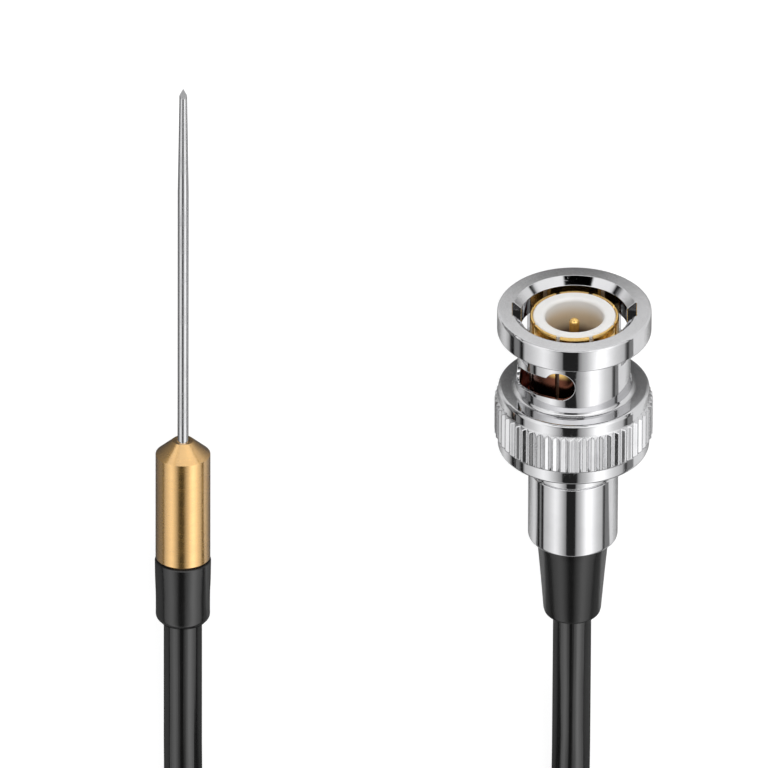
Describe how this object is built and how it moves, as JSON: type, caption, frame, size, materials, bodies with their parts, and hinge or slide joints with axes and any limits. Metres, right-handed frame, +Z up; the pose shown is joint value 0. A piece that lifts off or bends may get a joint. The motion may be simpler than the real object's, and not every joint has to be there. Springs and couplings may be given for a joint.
{
  "type": "oscilloscope probe",
  "caption": "Needle probe in a brass ferrule on one end of a coaxial lead, and a bayonet-lock plug with a turning coupling nut on the other; the lead is coiled and tied.",
  "frame": {"origin": "on the surface that the lead lies on, under the middle of the needle probe (the middle of its box, without the lead and the plug)", "axes": "+Y along the needle probe, towards the needle's point; +Z up; the plug lies at +X with its mouth towards +Y, tipped up by 5.5 degrees"},
  "size_m": [0.0567, 0.1304, 0.0154],
  "materials": {
    "stainless_steel": "polished",
    "black_bush": "matt",
    "satin_brass": "satin, turned",
    "shrink_sleeve": "satin",
    "tinned_copper": "bare wire",
    "dielectric": "matt",
    "cable_jacket": "smooth gloss",
    "strap": "woven",
    "bright_nickel": "bright plated",
    "spring_steel": "bright rolled",
    "gold_plate": "bright plated",
    "white_ptfe": "smooth matt",
    "silicone": "matt",
    "boot_rubber": "matt"
  },
  "bodies": {
    "lead": {"needle": "stainless_steel", "needle_bush": "black_bush", "probe_ferrule": "satin_brass", "probe_sleeve": "shrink_sleeve", "probe_braid": "tinned_copper", "probe_dielectric": "dielectric", "probe_conductor": "tinned_copper", "probe_jacket": "cable_jacket", "cable_probe_run": "cable_jacket", "cable_coil": "cable_jacket", "cable_plug_run": "cable_jacket", "coil_tie": "strap", "wave_spring": "spring_steel", "plug_body": "bright_nickel", "outer_contact": "gold_plate", "insulator": "white_ptfe", "centre_pin": "gold_plate", "gasket": "silicone", "retaining_collar": "bright_nickel", "barrel": "bright_nickel", "crimp_sleeve": "bright_nickel", "boot": "boot_rubber", "plug_braid": "tinned_copper", "plug_dielectric": "dielectric", "plug_conductor": "tinned_copper", "plug_jacket": "cable_jacket"},
    "thrust": {"thrust_washer": "spring_steel"},
    "coupling": {"coupling_nut": "bright_nickel"}
  },
  "joints": [
    {"name": "coupling_slide", "type": "slide", "parent": "lead", "child": "thrust", "axis": [0, 0.9954, 0.0958], "range_m": [0, 0.0008], "stiffness_N_per_m": 2000, "springref_m": -0.0003, "deforming": ["wave_spring"]},
    {"name": "coupling_turn", "type": "hinge", "parent": "thrust", "child": "coupling", "pos_m": [0.0355, 0.00793, 0.00842], "axis": [0, 0.9954, 0.0958], "continuous": true}
  ]
}
